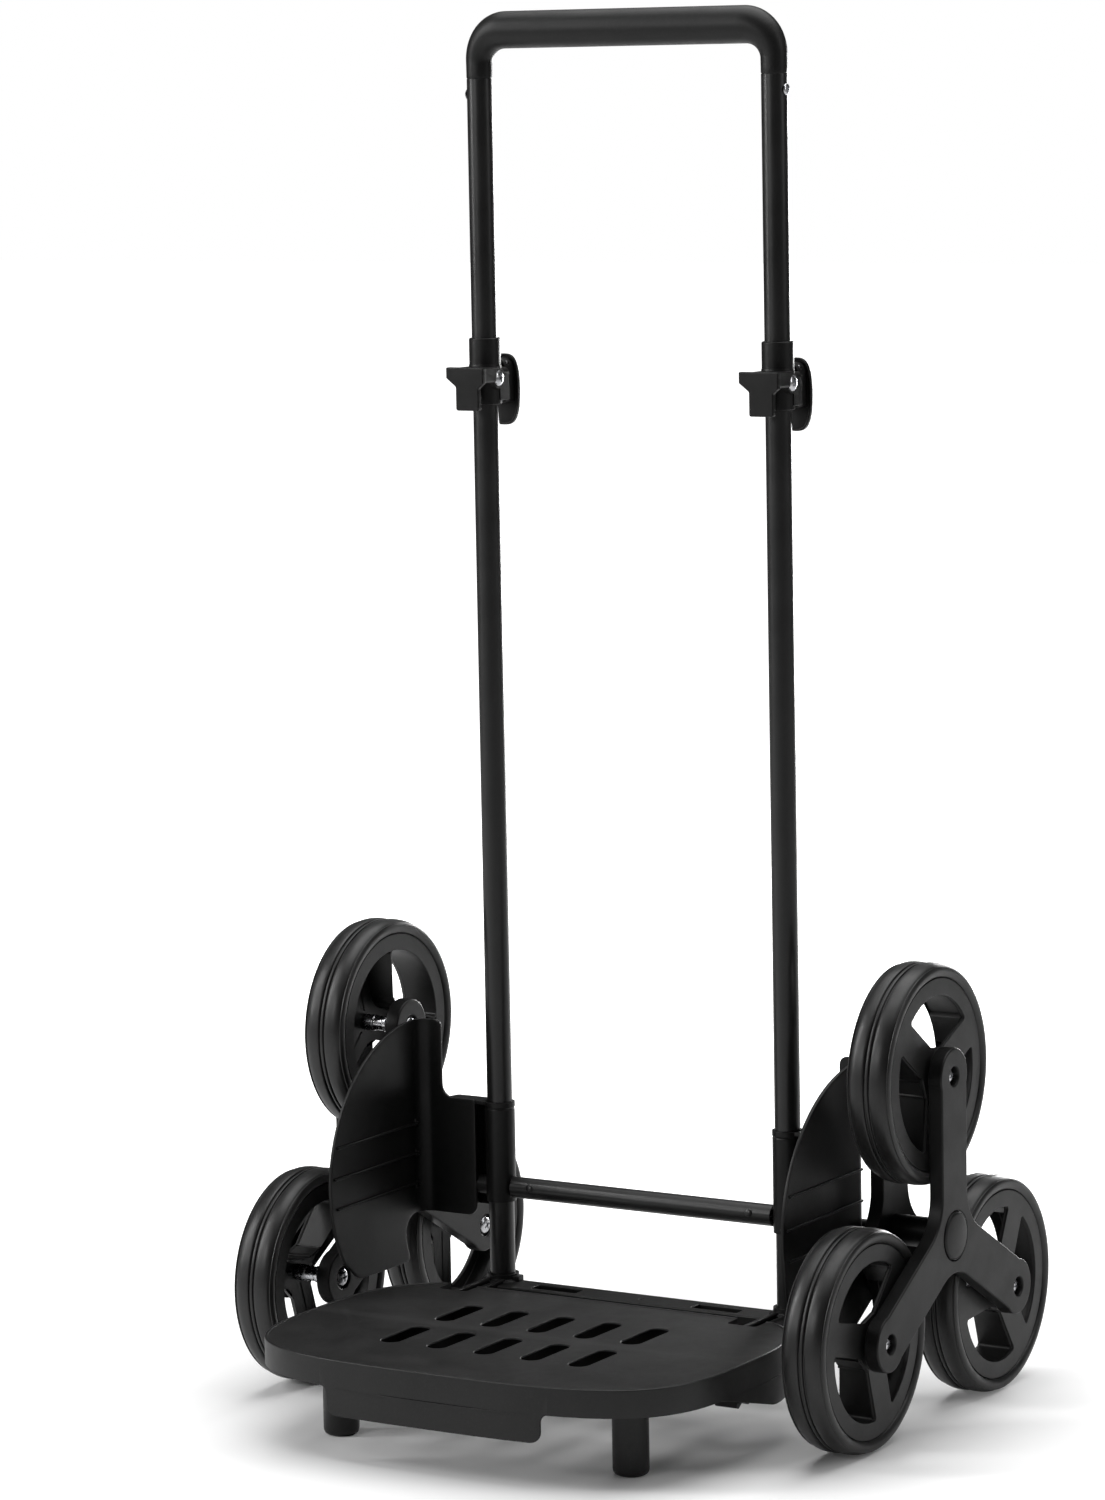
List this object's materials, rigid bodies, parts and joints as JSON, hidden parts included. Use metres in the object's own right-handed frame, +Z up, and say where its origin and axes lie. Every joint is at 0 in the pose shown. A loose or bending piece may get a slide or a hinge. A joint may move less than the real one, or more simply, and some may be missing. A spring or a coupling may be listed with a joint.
{
  "type": "stair climbing trolley",
  "caption": "Hand trolley frame with a folding load platform, a telescopic U handle with bag hooks, and a rotating three-wheel cluster on each side for climbing stairs.",
  "frame": {"origin": "on the floor, under the middle of the trolley's bounding box", "axes": "+Z up along the uprights, X from side to side along the wheel axle, the load platform towards -Y"},
  "size_m": [0.5254, 0.4782, 1.015],
  "materials": {
    "frame_plastic": "black moulded polypropylene, fine satin grain",
    "bracket_plastic": "dark moulded nylon, smooth satin",
    "platform_plastic": "dark moulded polypropylene, fine grained top",
    "grip_plastic": "black soft-touch plastic",
    "rim_plastic": "black moulded plastic",
    "tyre": "black rubber, soft sheen",
    "tube_paint": "satin black powder coat on steel tube",
    "steel": "bright zinc plated steel"
  },
  "bodies": {
    "base": {"base_rail": "frame_plastic", "crossbar": "tube_paint", "main_axle": "steel", "lower_tube_left": "tube_paint", "crossbar_rivet_left": "steel", "axle_clip_left": "steel", "guard_left": "frame_plastic", "clamp_left": "frame_plastic", "clamp_screw_left": "steel", "lever_pin_left": "steel", "hinge_pin_left": "steel", "lower_tube_right": "tube_paint", "crossbar_rivet_right": "steel", "axle_clip_right": "steel", "guard_right": "frame_plastic", "clamp_right": "frame_plastic", "clamp_screw_right": "steel", "lever_pin_right": "steel", "hinge_pin_right": "steel"},
    "handle": {"handle_grip": "grip_plastic", "handle_tube_left": "tube_paint", "handle_tube_right": "tube_paint", "grip_screw_left": "steel", "grip_screw_right": "steel"},
    "platform": {"platform": "platform_plastic", "foot_left": "frame_plastic", "foot_right": "frame_plastic"},
    "lever_left": {"release_lever_left": "frame_plastic"},
    "cluster_left": {"bracket_outer_left": "bracket_plastic", "bracket_inner_left": "bracket_plastic", "hub_cap_left": "bracket_plastic", "wheel_axle_left_top": "steel", "axle_screw_left_top": "steel", "wheel_axle_left_front": "steel", "axle_screw_left_front": "steel", "wheel_axle_left_rear": "steel", "axle_screw_left_rear": "steel"},
    "wheel_left_top": {"rim_left_top": "rim_plastic", "tyre_left_top": "tyre"},
    "wheel_left_front": {"rim_left_front": "rim_plastic", "tyre_left_front": "tyre"},
    "wheel_left_rear": {"rim_left_rear": "rim_plastic", "tyre_left_rear": "tyre"},
    "lever_right": {"release_lever_right": "frame_plastic"},
    "cluster_right": {"bracket_outer_right": "bracket_plastic", "bracket_inner_right": "bracket_plastic", "hub_cap_right": "bracket_plastic", "wheel_axle_right_top": "steel", "axle_screw_right_top": "steel", "wheel_axle_right_front": "steel", "axle_screw_right_front": "steel", "wheel_axle_right_rear": "steel", "axle_screw_right_rear": "steel"},
    "wheel_right_top": {"rim_right_top": "rim_plastic", "tyre_right_top": "tyre"},
    "wheel_right_front": {"rim_right_front": "rim_plastic", "tyre_right_front": "tyre"},
    "wheel_right_rear": {"rim_right_rear": "rim_plastic", "tyre_right_rear": "tyre"}
  },
  "joints": [
    {"name": "handle_slide", "type": "slide", "parent": "base", "child": "handle", "axis": [0, 0, 1], "range_m": [0, 0.11]},
    {"name": "platform_fold", "type": "hinge", "parent": "base", "child": "platform", "pos_m": [0, -0.00123, 0.0625], "axis": [-1, 0, 0], "range_deg": [0, 90]},
    {"name": "lever_left_open", "type": "hinge", "parent": "base", "child": "lever_left", "pos_m": [-0.1235, 0.07677, 0.757], "axis": [1, 0, 0], "range_deg": [0, 75]},
    {"name": "lever_right_open", "type": "hinge", "parent": "base", "child": "lever_right", "pos_m": [0.1235, 0.07677, 0.757], "axis": [1, 0, 0], "range_deg": [0, 75]},
    {"name": "cluster_left_turn", "type": "hinge", "parent": "base", "child": "cluster_left", "pos_m": [-0.2305, 0.05877, 0.138], "axis": [1, 0, 0], "continuous": true},
    {"name": "wheel_left_top_spin", "type": "hinge", "parent": "cluster_left", "child": "wheel_left_top", "pos_m": [-0.2305, 0.05877, 0.254], "axis": [1, 0, 0], "continuous": true},
    {"name": "wheel_left_front_spin", "type": "hinge", "parent": "cluster_left", "child": "wheel_left_front", "pos_m": [-0.2305, -0.04169, 0.08], "axis": [1, 0, 0], "continuous": true},
    {"name": "wheel_left_rear_spin", "type": "hinge", "parent": "cluster_left", "child": "wheel_left_rear", "pos_m": [-0.2305, 0.15923, 0.08], "axis": [1, 0, 0], "continuous": true},
    {"name": "cluster_right_turn", "type": "hinge", "parent": "base", "child": "cluster_right", "pos_m": [0.2305, 0.05877, 0.138], "axis": [1, 0, 0], "continuous": true},
    {"name": "wheel_right_top_spin", "type": "hinge", "parent": "cluster_right", "child": "wheel_right_top", "pos_m": [0.2305, 0.05877, 0.254], "axis": [1, 0, 0], "continuous": true},
    {"name": "wheel_right_front_spin", "type": "hinge", "parent": "cluster_right", "child": "wheel_right_front", "pos_m": [0.2305, -0.04169, 0.08], "axis": [1, 0, 0], "continuous": true},
    {"name": "wheel_right_rear_spin", "type": "hinge", "parent": "cluster_right", "child": "wheel_right_rear", "pos_m": [0.2305, 0.15923, 0.08], "axis": [1, 0, 0], "continuous": true}
  ]
}
